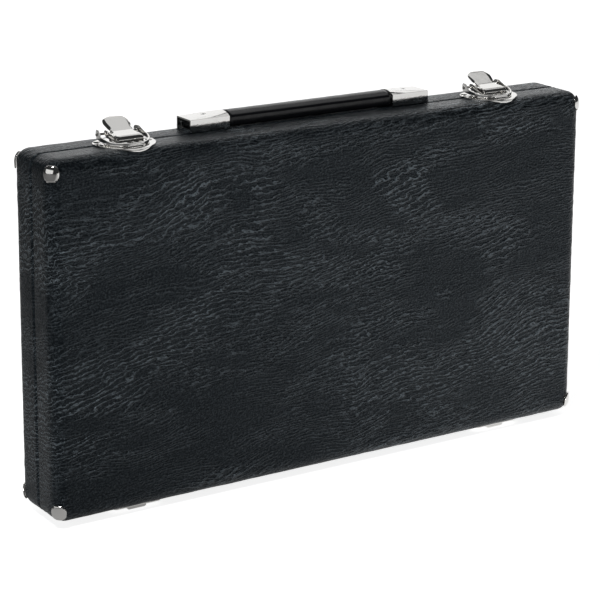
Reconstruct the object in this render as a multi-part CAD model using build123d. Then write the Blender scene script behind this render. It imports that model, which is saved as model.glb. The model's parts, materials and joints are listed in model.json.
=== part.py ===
from build123d import *
import math
import os

# A slim mouthpiece case, standing on its hinge edge as it is stored and carried.
# Millimetres. X runs along the case, +Y points to the rear half, -Y to the lid, +Z is up.
# The origin is on the surface that the case stands on, under the middle of the seam.

# Driving sizes of the wooden shell
LENGTH = 360.0
HEIGHT = 204.0
HALF_DEPTH = 22.0
FOOT = 3.2
CORNER_R = 7.5
EDGE_R = 7.0
RIM_BEVEL = 1.4
SEAM = 0.15
SKIN = 0.8
WALL = 5.0
PANEL = 4.0
BOARD_BEVEL = 3.8

# Places that follow from them
BOTTOM = FOOT
TOP = FOOT + HEIGHT
MID_Z = FOOT + HEIGHT / 2
IN_X = LENGTH / 2 - SKIN - WALL
IN_LOW = BOTTOM + SKIN + WALL
IN_HIGH = TOP - SKIN - WALL
PANEL_Y = HALF_DEPTH - SKIN - PANEL

# Lip that lines the halves up when the lid closes
LIP_T = 1.5
LIP_STEP = 0.35
LIP_REACH = 4.0
LIP_BACK = 12.0

# Foam insert with one keyhole pocket for each mouthpiece
INSERT_FRONT = 0.5
INSERT_GAP = 0.3
POCKET_COLUMNS = 6
POCKET_DEPTH = 13.5
POCKET_PITCH_X = 56.0
POCKET_PITCH_Z = 93.6
CUP_HALF_W = 16.0
CUP_LENGTH = 38.0
CUP_BEVEL = 7.0
SHANK_HALF_W = 8.0
SHANK_BEVEL = 3.5
POCKET_LENGTH = 86.0

# Lining and pad in the lid
LINING = 0.8
LINING_EDGE = 5.0
PAD_T = 5.0

# Nickel corner caps
CAP_T = 0.9
CAP_REACH_X = 6.7
CAP_REACH_Y = 5.5
CAP_REACH_Z = 10.6
CAP_GAP_Z = 1.0

# Hinges
HINGE_X = 126.0
HINGE_W = 32.0
HINGE_REACH = 15.8
LEAF_T = 0.9
BARREL_R = 1.6
AXIS_Z = 1.9
HINGE_PIN_R = 1.0
RUN_FIT = 0.05
KNUCKLE_GAP = 0.35
KNUCKLE_W = 12.0
BOSS_W = 11.5
BOSS_NEAR = 4.0
BOSS_FAR = 14.4
LEAF_RIVET_Y = 10.5
LEAF_RIVET_X = 11.5

# Rivets and screws
SHANK_R = 1.2
RIVET_HEAD_R = 2.1
RIVET_HEAD_T = 0.5
RIVET_DEPTH = 4.6
ROUND_SIDES = 12
PLATE_T = 0.6

# Draw latches. Heights here are above the top of the case.
LATCH_X = 124.0
LATCH_HALF_W = 17.5
CATCH_FRONT = 19.5
BASE_REAR = 12.0
PLATE_EDGE = 0.6
BEND_STEP = 10.0
PIVOT_Y = -6.5
PIVOT_H = 3.2
HASP_Y = 5.6
HASP_H = 4.6
NOSE_R = 2.3
SHEET_T = 0.8
NOSE_END = 222.0
LEVER_HALF_W = 8.2
SHOULDER_Y = -3.0
CREASE_Y = 0.4
CREASE_H = 6.7
WAIST_HALF_W = 5.2
TONGUE_ANGLE = 29.0
TONGUE_END = 11.8
TONGUE_HALF_W = 8.0
TIP_LENGTH = 3.7
FLANGE_OUT = 7.4
FLANGE_END = 7.6
LATCH_PIN_R = 0.75
CHEEK_OUT = 6.1
CHEEK_R = 1.25
HASP_A = 14.2
HASP_B = 15.0
HASP_CENTRE = -1.0
HASP_EAR_X = 12.0
HASP_EAR_Y = 8.2
HASP_LOW = 1.0
HASP_T = 1.0
ARCH_H = 1.6
ARCH_HALF_W = 6.2
HOOK_HALF_W = 5.2
HOOK_Y = -14.7
HOOK_H = 1.3
BASE_RIVET = (13.3, 5.0)
CATCH_RIVET = (14.2, -3.4)

# Strap handle and its two metal caps
CAP_IN = 55.7
CAP_OUT = 81.0
HANDLE_Y = 8.2
HANDLE_HALF_W = 7.7
CAP_SIDE_H = 6.8
CAP_CROWN_IN = 2.2
CAP_CROWN_OUT = 0.3
CAP_SHEET = 0.9
GRIP_HALF_W = 6.6
GRIP_LIFT = 0.4
GRIP_SIDE_H = 6.6
GRIP_CROWN = 1.9
GRIP_GAP = 0.3
STRAP_LOW = 1.5
STRAP_HIGH = 4.9
STRAP_HALF_W = 5.4
BRACKET_T = 1.2
BRACKET_IN = 57.5
BRACKET_OUT = 79.5
BRACKET_HALF_W = 6.7
CROSS_PIN_X = 76.4
CROSS_PIN_H = 3.3
CROSS_PIN_R = 1.0
TOP_RIVET_X = 68.4
TOP_RIVET_R = 1.5
BRACKET_SCREWS = (61.5, 73.0)

PARTS = "parts"
SIDES = (("left", -1), ("right", 1))
LID = Plane.XZ


def save(name, shape):
    """Write one sub-part under its own name."""
    export_step(shape, os.path.join(PARTS, name + ".step"))


def block(x0, x1, y0, y1, z0, z1):
    """A plain box between two corners."""
    middle = ((x0 + x1) / 2, (y0 + y1) / 2, (z0 + z1) / 2)
    return Pos(*middle) * Box(x1 - x0, y1 - y0, z1 - z0)


def rod_x(y, z, radius, x0, x1):
    """A round bar along X."""
    return Pos((x0 + x1) / 2, y, z) * Rot(0, 90, 0) * Cylinder(radius, x1 - x0)


def rod_z(x, y, radius, z0, z1):
    """A round bar along Z."""
    return Pos(x, y, (z0 + z1) / 2) * Cylinder(radius, z1 - z0)


def prism_x(y, z, radius, x0, x1):
    """An eight-sided bar along X that a round bar of the radius just fits inside."""
    face = Plane(origin=(x0, y, z), z_dir=(1, 0, 0)) * RegularPolygon(radius, 8, major_radius=False)
    return extrude(face, amount=x1 - x0)


def square_shank(x, y, z0, z1):
    """The square-cut shank of a rivet or screw, upright."""
    side = SHANK_R * math.sqrt(2)
    return block(x - side / 2, x + side / 2, y - side / 2, y + side / 2, z0, z1)


def side_plate(points, x0, x1):
    """A flat plate seen from the side: points are (y, z), and it spans x0 to x1."""
    outline = Plane.YZ.offset(x0) * make_face(Polyline(*points, close=True))
    return extrude(outline, amount=x1 - x0)


def flipped(shape):
    """The same shape on the lid's side of the seam."""
    return mirror(shape, about=LID)


# Wooden shell and leatherette


def half_slab(shrink, corner):
    """The rear half as a plain slab with rounded or bevelled corners, before its edges are worked."""
    face = Plane(origin=(0, SEAM + shrink, MID_Z), x_dir=(1, 0, 0), z_dir=(0, 1, 0))
    return extrude(face * corner, amount=HALF_DEPTH - SEAM - 2 * shrink)


def outer_block():
    """Outside of the rear half: rounded outline, rounded back edge and bevelled rim."""
    solid = half_slab(0.0, RectangleRounded(LENGTH, HEIGHT, CORNER_R))
    solid = fillet(solid.faces().sort_by(Axis.Y)[-1].edges(), EDGE_R)
    return chamfer(solid.faces().sort_by(Axis.Y)[0].edges(), RIM_BEVEL)


def board_block():
    """Outside of the boards: the same outline a skin's thickness smaller, with planed edges."""
    outline = RectangleRounded(LENGTH - 2 * SKIN, HEIGHT - 2 * SKIN, CORNER_R - SKIN)
    solid = half_slab(SKIN, outline)
    solid = chamfer(solid.faces().sort_by(Axis.Y)[-1].edges(), BOARD_BEVEL)
    return chamfer(solid.faces().sort_by(Axis.Y)[0].edges(), RIM_BEVEL * 0.8)


def top_shanks():
    """Shanks that go through the covering into the top wall of the rear half."""
    shanks = []
    for s in (-1, 1):
        for t in (-1, 1):
            shanks.append((s * LATCH_X + t * BASE_RIVET[0], BASE_RIVET[1]))
        for x in BRACKET_SCREWS:
            shanks.append((s * x, HANDLE_Y))
    return shanks


def shank_holes(places, z0, z1):
    """Square holes for the shanks at some (x, y) places."""
    return [square_shank(x, y, z0, z1) for x, y in places]


def rear_holes():
    """Every shank hole in the rear half's boards and covering."""
    upper = shank_holes(top_shanks(), TOP - RIVET_DEPTH, TOP + 1)
    return upper + shank_holes(leaf_rivet_places(1), BOTTOM - 1, BOTTOM + RIVET_DEPTH)


def lid_holes():
    """Every shank hole in the lid's boards and covering."""
    places = [(s * LATCH_X + t * CATCH_RIVET[0], CATCH_RIVET[1]) for s in (-1, 1) for t in (-1, 1)]
    upper = shank_holes(places, TOP - RIVET_DEPTH, TOP + 1)
    return upper + shank_holes(leaf_rivet_places(-1), BOTTOM - 1, BOTTOM + RIVET_DEPTH)


def drill(shape, holes):
    """Take the holes out of a shape."""
    for hole in holes:
        shape -= hole
    return shape


def wooden_boards(envelope):
    """Panel and four walls cut from the rounded envelope of one half."""
    far = LENGTH
    boards = {}
    boards["panel"] = envelope & block(-far, far, PANEL_Y, HALF_DEPTH, 0, TOP)
    boards["top_wall"] = envelope & block(-far, far, 0, PANEL_Y, IN_HIGH, TOP)
    boards["bottom_wall"] = envelope & block(-far, far, 0, PANEL_Y, 0, IN_LOW)
    boards["left_wall"] = envelope & block(-far, -IN_X, 0, PANEL_Y, IN_LOW, IN_HIGH)
    boards["right_wall"] = envelope & block(IN_X, far, 0, PANEL_Y, IN_LOW, IN_HIGH)
    return boards


def make_half(prefix, turn, holes):
    """Boards and leatherette covering of one half of the case."""
    envelope = board_block()
    for name, board in wooden_boards(envelope).items():
        board = turn(board)
        if name in ("top_wall", "bottom_wall"):
            board = drill(board, holes)
        save(prefix + "_" + name, board)
    covering = outer_block() - envelope
    covering -= block(-IN_X, IN_X, 0, PANEL_Y, IN_LOW, IN_HIGH)
    save(prefix + "_covering", drill(turn(covering), holes))


def faceted_block(grow):
    """Bevelled block that just clears the rounded outside, grown by some thickness."""
    round_to_bevel = 2 - math.sqrt(2)
    outline_bevel = (CORNER_R + grow) * round_to_bevel
    edge_bevel = (EDGE_R + grow) * round_to_bevel
    outline = Rectangle(LENGTH + 2 * grow, HEIGHT + 2 * grow)
    outline = chamfer(outline.vertices(), outline_bevel)
    solid = half_slab(-grow, outline)
    return chamfer(solid.faces().sort_by(Axis.Y)[-1].edges(), edge_bevel)


def corner_caps(turn):
    """Four folded metal caps, one over each outer corner of a half."""
    sheet = faceted_block(CAP_T) - faceted_block(0.0)
    caps = []
    for sx in (-1, 1):
        x0 = min(sx * (LENGTH / 2 - CAP_REACH_X), sx * LENGTH)
        x1 = max(sx * (LENGTH / 2 - CAP_REACH_X), sx * LENGTH)
        for z0, z1 in ((BOTTOM + CAP_GAP_Z, BOTTOM + CAP_REACH_Z), (TOP - CAP_REACH_Z, TOP - CAP_GAP_Z)):
            corner = block(x0, x1, HALF_DEPTH - CAP_REACH_Y, HALF_DEPTH + 2, z0, z1)
            caps.append(turn(sheet & corner))
    return group(caps)


# Inside


def lip_strip(wall, inward):
    """Section of the alignment lip as (y, offset) points; wall and inward set its place."""
    near = wall + inward * LIP_STEP
    far = wall + inward * LIP_T
    tip = wall + inward * (LIP_STEP + LIP_T) / 2
    step_y = SEAM + SKIN
    return [(LIP_BACK, wall), (step_y, wall), (step_y, near), (1 - LIP_REACH, near),
            (-LIP_REACH, tip), (1 - LIP_REACH, far), (LIP_BACK, far)]


def alignment_lip():
    """Four thin wooden strips inside the rear walls; they reach into the closed lid."""
    strips = []
    for wall, inward in ((IN_HIGH, -1), (IN_LOW, 1)):
        strips.append(side_plate(lip_strip(wall, inward), -IN_X + LIP_STEP, IN_X - LIP_STEP))
    for wall, inward in ((IN_X, -1), (-IN_X, 1)):
        points = [(x, y) for y, x in lip_strip(wall, inward)]
        outline = Plane.XY.offset(IN_LOW + LIP_T) * make_face(Polyline(*points, close=True))
        strips.append(extrude(outline, amount=IN_HIGH - IN_LOW - 2 * LIP_T))
    return Compound(children=[strip.solid() for strip in strips])


def bevelled_rectangle(width, height, bevel):
    """A rectangle with its four corners cut off."""
    plain = Rectangle(width, height)
    return chamfer(plain.vertices(), bevel)


def pocket(x, z, turn_over):
    """Keyhole pocket: a wide bay for the cup and a narrower bay for the shank."""
    cup_mid = POCKET_LENGTH / 2 - CUP_LENGTH / 2
    shank_length = POCKET_LENGTH - CUP_LENGTH + SHANK_HALF_W
    shank_mid = shank_length / 2 - POCKET_LENGTH / 2
    cup = Pos(0, turn_over * cup_mid) * bevelled_rectangle(2 * CUP_HALF_W, CUP_LENGTH, CUP_BEVEL)
    shank = bevelled_rectangle(2 * SHANK_HALF_W, shank_length, SHANK_BEVEL)
    face = Plane(origin=(x, INSERT_FRONT - 1, z), x_dir=(-1, 0, 0), z_dir=(0, 1, 0))
    return extrude(face * (cup + Pos(0, turn_over * shank_mid) * shank), amount=POCKET_DEPTH + 1)


def mouthpiece_insert():
    """Flocked foam block glued to the rear panel, with two rows of pockets."""
    margin = LIP_T + INSERT_GAP
    foam = block(-IN_X + margin, IN_X - margin, INSERT_FRONT, PANEL_Y, IN_LOW + margin, IN_HIGH - margin)
    for row in (-1, 1):
        for column in range(POCKET_COLUMNS):
            x = (column - (POCKET_COLUMNS - 1) / 2) * POCKET_PITCH_X
            foam -= pocket(x, MID_Z + row * POCKET_PITCH_Z / 2, row)
    return foam


def lid_lining():
    """Thin plush tray that lines the lid's panel and the deep part of its walls."""
    tray = block(-IN_X, IN_X, -PANEL_Y, -LINING_EDGE, IN_LOW, IN_HIGH)
    hollow = block(-IN_X + LINING, IN_X - LINING, -PANEL_Y + LINING, 0, IN_LOW + LINING, IN_HIGH - LINING)
    return tray - hollow


def lid_pad():
    """Soft pad on the lining that keeps the mouthpieces in their pockets."""
    low = -PANEL_Y + LINING
    x = IN_X - LINING - INSERT_GAP
    z_low = IN_LOW + LINING + INSERT_GAP
    z_high = IN_HIGH - LINING - INSERT_GAP
    pad = block(-x, x, low, low + PAD_T, z_low, z_high)
    crown = pad.faces().sort_by(Axis.Y)[-1]
    return fillet(crown.edges(), PAD_T / 2)


# Hinges


def leaf_rivet_places(side):
    """Rivets beside the raised boss of each hinge leaf, as (x, y)."""
    return [(s * HINGE_X + t * LEAF_RIVET_X, side * LEAF_RIVET_Y) for s in (-1, 1) for t in (-1, 1)]


def hinge_leaf(x, side):
    """One stamped leaf with its knuckles and the pressed boss that the case stands on."""
    half = HINGE_W / 2
    mid = KNUCKLE_W / 2
    leaf = block(x - half, x + half, 0, HINGE_REACH, BOTTOM - LEAF_T, BOTTOM)
    leaf = chamfer(leaf.edges().filter_by(Axis.Z).group_by(Axis.Y)[-1], 2.5)
    boss = block(x - BOSS_W / 2, x + BOSS_W / 2, BOSS_NEAR, BOSS_FAR, 0, BOTTOM - LEAF_T / 2)
    boss = chamfer(boss.faces().sort_by(Axis.Z)[0].edges(), 0.8)
    if side < 0:
        spans = [(-mid, mid)]
        gaps = [(-half - 1, -mid), (mid, half + 1)]
        bore = HINGE_PIN_R + RUN_FIT
    else:
        spans = [(-half, -mid - KNUCKLE_GAP), (mid + KNUCKLE_GAP, half)]
        gaps = [(-mid - KNUCKLE_GAP, mid + KNUCKLE_GAP)]
        bore = HINGE_PIN_R
    for x0, x1 in gaps:
        leaf -= block(x + x0, x + x1, -1, BARREL_R + KNUCKLE_GAP, 0, BOTTOM + 1)
    leaf += boss
    for x0, x1 in spans:
        leaf += rod_x(0, AXIS_Z, BARREL_R, x + x0, x + x1)
    if side < 0:
        leaf = flipped(leaf)
    leaf -= rod_x(0, AXIS_Z, bore, x - half - 1, x + half + 1)
    return drill(leaf, shank_holes(leaf_rivet_places(side), 0, BOTTOM + 1)).solid()


def hinge_pins():
    """The two hinge pins, held in the rear leaves."""
    return group([rod_x(0, AXIS_Z, HINGE_PIN_R, s * HINGE_X - HINGE_W / 2, s * HINGE_X + HINGE_W / 2)
                  for s in (-1, 1)])


def group(shapes):
    """Identical pieces kept as separate solids of one node."""
    return Compound(children=[shape.solid() for shape in shapes])


def rivet_head(x, y, z0, z1, r0, r1):
    """Low round head whose radius goes from r0 at z0 to r1 at z1."""
    wide = Plane(origin=(x, y, z0)) * RegularPolygon(r0, ROUND_SIDES)
    narrow = Plane(origin=(x, y, z1)) * RegularPolygon(r1, ROUND_SIDES)
    return loft([wide, narrow], ruled=True)


def rivet_up(x, y):
    """Rivet driven through the hinge leaf into the bottom wall."""
    low = BOTTOM - LEAF_T
    head = rivet_head(x, y, low - RIVET_HEAD_T, low, RIVET_HEAD_R * 0.7, RIVET_HEAD_R)
    return head + square_shank(x, y, low, BOTTOM + RIVET_DEPTH)


def rivet_down(x, y, low):
    """Rivet driven through a plate, whose top is at low, into the top wall."""
    head = rivet_head(x, y, low, low + RIVET_HEAD_T, RIVET_HEAD_R, RIVET_HEAD_R * 0.7)
    return head + square_shank(x, y, TOP - RIVET_DEPTH, low)


# Draw latches


def oval_points(half_w, reach, start, end, steps):
    """Points on an ellipse from one angle to another, in degrees."""
    points = []
    for i in range(steps + 1):
        angle = math.radians(start + (end - start) * i / steps)
        points.append((half_w * math.cos(angle), reach * math.sin(angle)))
    return points


def oval_face(x, y_edge, y_end, z):
    """Half an ellipse, from the seam side out to y_end."""
    outline = oval_points(LATCH_HALF_W, y_end - y_edge, 6, 174, 14)
    left = (outline[-1][0], 0)
    right = (outline[0][0], 0)
    return Plane(origin=(x, y_edge, z)) * make_face(Polyline(*outline, left, right, close=True))


def bend_points(radius):
    """Flats that touch a circle of this radius about the centre of the lid's front rounding."""
    points = []
    for i in (1, 3, 5):
        angle = math.radians(i * BEND_STEP)
        reach = radius / math.cos(math.radians(BEND_STEP))
        y = EDGE_R - HALF_DEPTH - reach * math.sin(angle)
        points.append((y, TOP - EDGE_R + reach * math.cos(angle)))
    return points


def latch_catch(x):
    """Plate bent over the lid's front rounding, with an upright hook bent out of its own slot."""
    under = bend_points(EDGE_R)
    over = bend_points(EDGE_R + PLATE_T)
    profile = [(-PLATE_EDGE, TOP), *under, *reversed(over), (-PLATE_EDGE, TOP + PLATE_T)]
    oval = extrude(oval_face(x, -PLATE_EDGE, -CATCH_FRONT, TOP - EDGE_R), amount=2 * EDGE_R)
    plate = side_plate(profile, x - LATCH_HALF_W, x + LATCH_HALF_W) & oval
    slot = block(x - HOOK_HALF_W, x + HOOK_HALF_W, HOOK_Y + SHEET_T, HOOK_Y + SHEET_T + 1.7, TOP - 1, TOP + 1)
    hook = block(x - HOOK_HALF_W, x + HOOK_HALF_W, HOOK_Y, HOOK_Y + SHEET_T, TOP, TOP + HOOK_H)
    hook = chamfer(hook.edges().filter_by(Axis.Y).group_by(Axis.Z)[-1], 0.6)
    places = [(x + t * CATCH_RIVET[0], CATCH_RIVET[1]) for t in (-1, 1)]
    return drill(plate - slot + hook, shank_holes(places, TOP - 1, TOP + 3)).solid()


def latch_base(x):
    """Plate on the rear half with two cheeks that reach over the seam to the lever's pin."""
    base = extrude(oval_face(x, PLATE_EDGE, BASE_REAR, TOP), amount=PLATE_T)
    pivot = TOP + PIVOT_H
    leg_front = PLATE_EDGE + 1.0
    leg_back = leg_front + 2.6
    neck_low = pivot - 0.5
    nose = PIVOT_Y - CHEEK_R
    outline = [(nose, neck_low), (leg_front, neck_low), (leg_front, TOP), (leg_back, TOP),
               (leg_back, pivot + CHEEK_R), (PIVOT_Y - 0.5, pivot + CHEEK_R), (nose, pivot + 0.5)]
    for side in (-1, 1):
        inner = x + side * (CHEEK_OUT - SHEET_T)
        outer = x + side * CHEEK_OUT
        base += side_plate(outline, min(inner, outer), max(inner, outer))
    base -= prism_x(PIVOT_Y, pivot, LATCH_PIN_R, x - LATCH_HALF_W, x + LATCH_HALF_W)
    places = [(x + t * BASE_RIVET[0], BASE_RIVET[1]) for t in (-1, 1)]
    return drill(base, shank_holes(places, TOP - 1, TOP + 3)).solid()


def on_nose(radius, degrees):
    """Point on a circle about the lever's pin, as (y, height above the case)."""
    angle = math.radians(degrees)
    return (PIVOT_Y + radius * math.cos(angle), PIVOT_H + radius * math.sin(angle))


def lever_skin(x):
    """Bent sheet: rolled nose, flat top and a tongue that kicks up to be lifted by a finger."""
    inner_r = NOSE_R - SHEET_T
    drop = SHEET_T / math.cos(math.radians(TONGUE_ANGLE))
    rise = (TONGUE_END - CREASE_Y) * math.tan(math.radians(TONGUE_ANGLE))
    crease_low = CREASE_H - drop
    outer = ThreePointArc(on_nose(NOSE_R, NOSE_END), on_nose(NOSE_R, 160), on_nose(NOSE_R, 90))
    inner = ThreePointArc(on_nose(inner_r, 90), on_nose(inner_r, 160), on_nose(inner_r, NOSE_END))
    over = Polyline(on_nose(NOSE_R, 90), (CREASE_Y, CREASE_H), (TONGUE_END, CREASE_H + rise),
                    (TONGUE_END, crease_low + rise), (CREASE_Y, crease_low), on_nose(inner_r, 90))
    end = Line(on_nose(inner_r, NOSE_END), on_nose(NOSE_R, NOSE_END))
    plane = Plane(origin=(x - LEVER_HALF_W, 0, TOP), x_dir=(0, 1, 0), z_dir=(1, 0, 0))
    return extrude(plane * make_face(outer + over + inner + end), amount=2 * LEVER_HALF_W)


def lever_outline(x):
    """Plan of the lever: wide nose, a waist at the crease and a fan-shaped tongue with a round tip."""
    front = PIVOT_Y - NOSE_R - 1
    tip_y = TONGUE_END - TIP_LENGTH
    tip = [(u, tip_y + v) for u, v in oval_points(TONGUE_HALF_W, TIP_LENGTH, 0, 180, 10)]
    left = [(-WAIST_HALF_W, CREASE_Y), (-LEVER_HALF_W, SHOULDER_Y), (-LEVER_HALF_W, front)]
    right = [(-u, v) for u, v in reversed(left)]
    outline = make_face(Polyline(*tip, *left, *right, close=True))
    return extrude(Plane(origin=(x, 0, TOP)) * outline, amount=20)


def latch_lever(x):
    """Lever: skin, two side arms, and the holes for its own pin and the hasp's pin."""
    lever = lever_skin(x) & lever_outline(x)
    arm_top = PIVOT_H + NOSE_R - SHEET_T / 2
    arm = [(PIVOT_Y - 1.4, PIVOT_H - 1.2), (PIVOT_Y - 0.6, PIVOT_H - 1.7), (HASP_Y - 0.8, 2.3),
           (FLANGE_END, 3.7), (FLANGE_END, HASP_H + 0.7), (HASP_Y + 1.0, HASP_H + 1.7),
           (HASP_Y - 1.2, HASP_H + 1.7), (CREASE_Y, arm_top), (PIVOT_Y, arm_top),
           (PIVOT_Y - 1.6, PIVOT_H + 1.0)]
    outline = [(y, TOP + height) for y, height in arm]
    for side in (-1, 1):
        outer = x + side * FLANGE_OUT
        inner = outer - side * SHEET_T
        lever += side_plate(outline, min(inner, outer), max(inner, outer))
    lever -= prism_x(PIVOT_Y, TOP + PIVOT_H, LATCH_PIN_R + RUN_FIT, x - LATCH_HALF_W, x + LATCH_HALF_W)
    lever -= prism_x(HASP_Y, TOP + HASP_H, LATCH_PIN_R, x - LATCH_HALF_W, x + LATCH_HALF_W)
    return lever.solid()


def hasp_plan(grow):
    """Plan of the hasp's ring: half an ellipse in front, sides that close in to the ears."""
    front = oval_points(HASP_A - grow, HASP_B - grow, 180, 360, 18)
    ear_x = HASP_EAR_X - grow
    ear_y = HASP_EAR_Y + 1 - HASP_CENTRE
    return make_face(Polyline(*front, (ear_x, ear_y), (-ear_x, ear_y), close=True))


def latch_hasp(x):
    """Bent strip round the lever's nose, arched over the catch's hook, with two raised ears."""
    plane = Plane(origin=(x, HASP_CENTRE, TOP))
    ring = extrude(plane * hasp_plan(0.0), amount=10)
    ring -= extrude(plane * hasp_plan(HASP_T), amount=10)
    front = HASP_CENTRE - HASP_B - 1
    side_view = [(front, HASP_LOW), (front, 2.6), (-9.0, 2.9), (0.0, 4.6), (3.5, 6.6), (4.6, 7.2),
                 (7.0, 7.2), (HASP_EAR_Y, 6.2), (HASP_EAR_Y, 3.2), (6.5, 1.9), (-6.5, 1.7), (-9.5, HASP_LOW)]
    profile = [(y, TOP + height) for y, height in side_view]
    arch = block(x - ARCH_HALF_W, x + ARCH_HALF_W, front, -6, TOP, TOP + ARCH_H)
    hasp = (ring & side_plate(profile, x - LATCH_HALF_W, x + LATCH_HALF_W)) - arch
    hasp -= prism_x(HASP_Y, TOP + HASP_H, LATCH_PIN_R + RUN_FIT, x - LATCH_HALF_W, x + LATCH_HALF_W)
    return hasp.solid()


def latch_pin(x, y, height, half_length):
    """Plain pin along the case."""
    return rod_x(y, TOP + height, LATCH_PIN_R, x - half_length, x + half_length)


# Handle


def handle_section(x, half_w, low, side_h, crown):
    """Section across the handle: flat bottom, upright sides, arched top."""
    plane = Plane(origin=(x, HANDLE_Y, TOP), x_dir=(0, 1, 0), z_dir=(1, 0, 0))
    base = Polyline((-half_w, side_h), (-half_w, low), (half_w, low), (half_w, side_h))
    top = ThreePointArc((half_w, side_h), (0, side_h + crown), (-half_w, side_h))
    return plane * make_face(base + top)


def under_slope(side, drop):
    """Everything under the plane that a cap's top slopes down along, lowered by drop."""
    high = TOP + CAP_SIDE_H + CAP_CROWN_IN - drop
    low = TOP + CAP_SIDE_H + CAP_CROWN_OUT - drop
    more = (high - low) / (CAP_OUT - CAP_IN)
    near = side * (CAP_IN - 1)
    far = side * (CAP_OUT + 1)
    outline = Polyline((near, TOP - 2), (near, high + more), (far, low - more), (far, TOP - 2), close=True)
    return extrude(Plane.XZ * make_face(outline), amount=HANDLE_Y + HANDLE_HALF_W + 1, both=True)


def handle_cap(side):
    """Folded nickel cap: arched at the strap's end, sloping to its flatter, open outer end."""
    x0 = min(side * CAP_IN, side * CAP_OUT)
    reach = CAP_OUT - CAP_IN
    cap = extrude(handle_section(x0, HANDLE_HALF_W, 0, CAP_SIDE_H, CAP_CROWN_IN), amount=reach)
    inner_w = HANDLE_HALF_W - CAP_SHEET
    inner_h = CAP_SIDE_H - CAP_SHEET
    hollow = extrude(handle_section(x0 - 1, inner_w, -1, inner_h, CAP_CROWN_IN), amount=reach + 2)
    cap = cap & under_slope(side, 0.0)
    cap -= hollow & under_slope(side, CAP_SHEET)
    cap -= cross_hole(side)
    cap -= rod_z(side * TOP_RIVET_X, HANDLE_Y, TOP_RIVET_R, TOP + 2, TOP + 12)
    return cap.solid()


def cross_hole(side):
    """Eight-sided hole across the handle that the cross pin fits."""
    plane = Plane(origin=(side * CROSS_PIN_X, HANDLE_Y - 20, TOP + CROSS_PIN_H), z_dir=(0, 1, 0))
    return extrude(plane * RegularPolygon(CROSS_PIN_R, 8, major_radius=False), amount=40)


def rivet_hole(side):
    """Eight-sided hole that the cap's rivet fits."""
    plane = Plane(origin=(side * TOP_RIVET_X, HANDLE_Y, TOP - 1))
    return extrude(plane * RegularPolygon(TOP_RIVET_R, 8, major_radius=False), amount=13)


def handle_bracket(side):
    """Plate screwed to the case under each cap, with two ears for the cross pin."""
    x0 = min(side * BRACKET_IN, side * BRACKET_OUT)
    x1 = max(side * BRACKET_IN, side * BRACKET_OUT)
    bracket = block(x0, x1, HANDLE_Y - BRACKET_HALF_W, HANDLE_Y + BRACKET_HALF_W, TOP, TOP + BRACKET_T)
    ear_mid = side * CROSS_PIN_X
    for t in (-1, 1):
        y_out = HANDLE_Y + t * BRACKET_HALF_W
        y_in = y_out - t * CAP_SHEET
        ear = block(ear_mid - 2.5, ear_mid + 2.5, min(y_in, y_out), max(y_in, y_out), TOP, TOP + 4.9)
        bracket += chamfer(ear.edges().filter_by(Axis.Y).group_by(Axis.Z)[-1], 1.2)
    bracket = bracket - cross_hole(side) - rivet_hole(side)
    screws = [(side * x, HANDLE_Y) for x in BRACKET_SCREWS]
    return drill(bracket, shank_holes(screws, TOP - 1, TOP + 3)).solid()


def strap_end(side):
    """Flat end of the strap, held inside the cap by the rivet and the cross pin."""
    x0 = min(side * CAP_IN, side * (BRACKET_OUT - 1))
    x1 = max(side * CAP_IN, side * (BRACKET_OUT - 1))
    low = TOP + STRAP_LOW
    high = TOP + STRAP_HIGH
    end = block(x0, x1, HANDLE_Y - STRAP_HALF_W, HANDLE_Y + STRAP_HALF_W, low, high)
    for x in BRACKET_SCREWS:
        if x < BRACKET_OUT:
            end -= block(side * x - 2.6, side * x + 2.6, HANDLE_Y - 2.6, HANDLE_Y + 2.6, TOP, TOP + 2.0)
    return (end - cross_hole(side) - rivet_hole(side)).solid()


def cap_rivet(side):
    """Rivet through cap, strap and bracket, with a dimpled head."""
    crown = CAP_CROWN_OUT + (CAP_CROWN_IN - CAP_CROWN_OUT) * (CAP_OUT - TOP_RIVET_X) / (CAP_OUT - CAP_IN)
    x = side * TOP_RIVET_X
    top = TOP + CAP_SIDE_H + crown
    shank = extrude(Plane(origin=(x, HANDLE_Y, TOP)) * RegularPolygon(TOP_RIVET_R, 8), amount=top - TOP)
    return shank - rivet_head(x, HANDLE_Y, top - 0.5, top + 0.2, 0.5, 1.2)


def cross_pin(side):
    """Pin across the cap near its open end, with ends that stand just proud."""
    pin = Cylinder(CROSS_PIN_R, 2 * HANDLE_HALF_W + 0.6)
    return Pos(side * CROSS_PIN_X, HANDLE_Y, TOP + CROSS_PIN_H) * Rot(90, 0, 0) * pin


def handle_grip():
    """The strap between the caps: padded, flat underneath and arched on top."""
    reach = CAP_IN - GRIP_GAP
    section = handle_section(-reach, GRIP_HALF_W, GRIP_LIFT, GRIP_SIDE_H, GRIP_CROWN)
    grip = extrude(section, amount=2 * reach)
    long_edges = grip.edges().filter_by(Axis.X).group_by(Axis.Z)
    return fillet(long_edges[0], 0.8).solid()


# Writing the pieces


def write_case():
    """Both halves, their caps and what lies inside."""
    make_half("rear", lambda shape: shape, rear_holes())
    make_half("lid", flipped, lid_holes())
    save("rear_corner_caps", corner_caps(lambda shape: shape))
    save("lid_corner_caps", corner_caps(flipped))
    save("alignment_lip", alignment_lip())
    save("mouthpiece_insert", mouthpiece_insert())
    save("lid_lining", lid_lining())
    save("lid_pad", lid_pad())


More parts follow.
